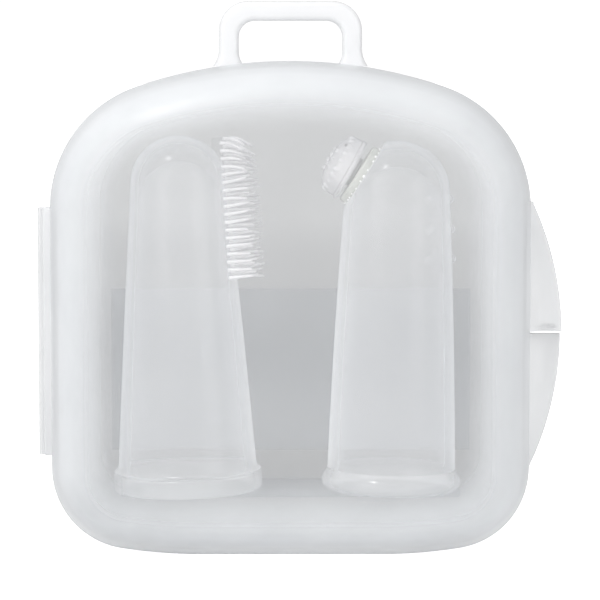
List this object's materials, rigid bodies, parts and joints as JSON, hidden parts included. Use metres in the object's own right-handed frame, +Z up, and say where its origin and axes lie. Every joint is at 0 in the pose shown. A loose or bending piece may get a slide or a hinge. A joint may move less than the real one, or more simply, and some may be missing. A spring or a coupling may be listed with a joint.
{
  "type": "finger brush set in a hinged carrying case",
  "caption": "Silicone finger toothbrush and gum massager, standing in a frosted hinged carrying case with a loop handle.",
  "frame": {"origin": "middle of the flat base that the case stands on, at the case's centre line", "axes": "+Z up, -Y towards the viewer out of the lid, -X towards the hinge; units metres"},
  "size_m": [0.0823, 0.03, 0.0868],
  "materials": {
    "frosted_case": "translucent frosted polypropylene",
    "pale_handle": "translucent satin polypropylene",
    "clear_silicone": "clear glossy silicone",
    "bristle_silicone": "milky soft silicone bristles"
  },
  "bodies": {
    "case_back": {"rear_shell": "frosted_case", "closing_lip": "frosted_case", "rear_hinge_leaf": "frosted_case", "living_hinge": "frosted_case", "rear_thumb_tab": "frosted_case", "carry_handle": "pale_handle", "brush_shelf": "frosted_case", "brush_cradle": "frosted_case"},
    "lid": {"front_shell": "frosted_case", "front_hinge_leaf": "frosted_case", "front_thumb_tab": "frosted_case"},
    "toothbrush": {"toothbrush_sleeve": "clear_silicone", "toothbrush_bristles": "bristle_silicone"},
    "massager": {"massager_sleeve": "clear_silicone", "massager_pad": "bristle_silicone", "massager_head": "bristle_silicone"}
  },
  "joints": [
    {"name": "lid_hinge", "type": "hinge", "parent": "case_back", "child": "lid", "pos_m": [-0.03915, 0, 0.03495], "axis": [0, 0, -1], "range_deg": [0, 180], "deforming": ["living_hinge"]},
    {"name": "toothbrush_lift_out", "type": "slide", "parent": "case_back", "child": "toothbrush", "axis": [0, -1, 0], "range_m": [0, 0.03]},
    {"name": "massager_lift_out", "type": "slide", "parent": "case_back", "child": "massager", "axis": [0, -1, 0], "range_m": [0, 0.03]}
  ],
  "couplings": [
    {"joint": "toothbrush_lift_out", "follows": "lid_hinge", "m_per_rad": 0.0095},
    {"joint": "massager_lift_out", "follows": "lid_hinge", "m_per_rad": 0.0095}
  ]
}
